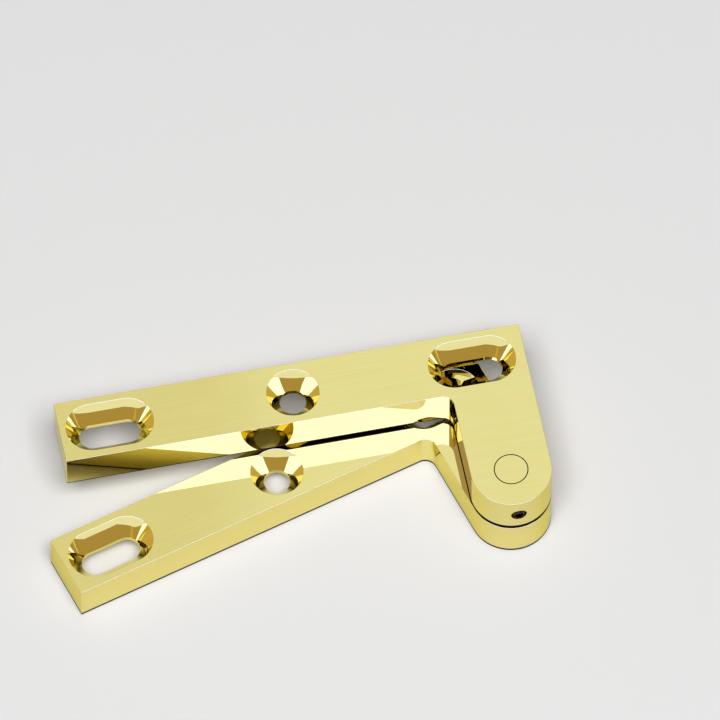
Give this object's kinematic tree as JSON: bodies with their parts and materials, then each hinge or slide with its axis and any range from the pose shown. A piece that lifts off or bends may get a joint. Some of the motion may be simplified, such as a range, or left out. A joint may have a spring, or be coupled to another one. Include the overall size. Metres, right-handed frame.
{
  "type": "offset pivot hinge",
  "caption": "Offset pivot hinge for a door: L-shaped brass leaves turning on a flush pin, with double-countersunk slotted arms.",
  "frame": {"origin": "on the pivot's axis, in the plane of the door leaf's outer face", "axes": "+X along the door leaf's arm towards its heel, +Y from the pivot towards the arm, +Z along the pin from the door leaf to the frame leaf"},
  "size_m": [0.097, 0.0596, 0.0171],
  "materials": {
    "leaf_brass": "polished, faces finely brushed",
    "pin_brass": "polished",
    "washer_bronze": "dull rolled bronze",
    "screw_steel": "black oxide"
  },
  "bodies": {
    "door_side": {"door_leaf": "leaf_brass", "thrust_washer": "washer_bronze"},
    "frame_side": {"frame_leaf": "leaf_brass", "pivot_pin": "pin_brass", "set_screw": "screw_steel"}
  },
  "joints": [
    {"name": "pivot", "type": "hinge", "parent": "door_side", "child": "frame_side", "pos_m": [0, 0, 0], "axis": [0, 0, -1], "range_deg": [-16.15, 163.85]}
  ]
}
